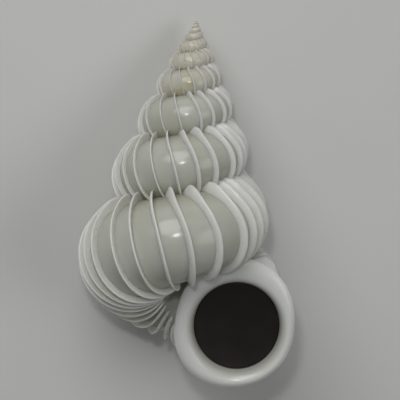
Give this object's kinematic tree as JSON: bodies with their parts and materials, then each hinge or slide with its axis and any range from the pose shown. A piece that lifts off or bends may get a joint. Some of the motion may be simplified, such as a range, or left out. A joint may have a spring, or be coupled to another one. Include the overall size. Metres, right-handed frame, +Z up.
{
  "type": "wentletrap shell",
  "caption": "Tall spiral sea shell with thin blade-like ribs round each whorl, a round opening with a thick rolled lip, and a dark horny lid set just inside it.",
  "frame": {"origin": "middle of the overall box, on the surface that the shell lies on", "axes": "+Z up out of the round opening, +Y towards the tip along the length of the shell, +X to the side of the opening"},
  "size_m": [0.0242, 0.0384, 0.0197],
  "materials": {
    "shell": "gloss",
    "operculum": "satin"
  },
  "bodies": {
    "root": {"shell": "shell", "operculum": "operculum"}
  },
  "joints": []
}
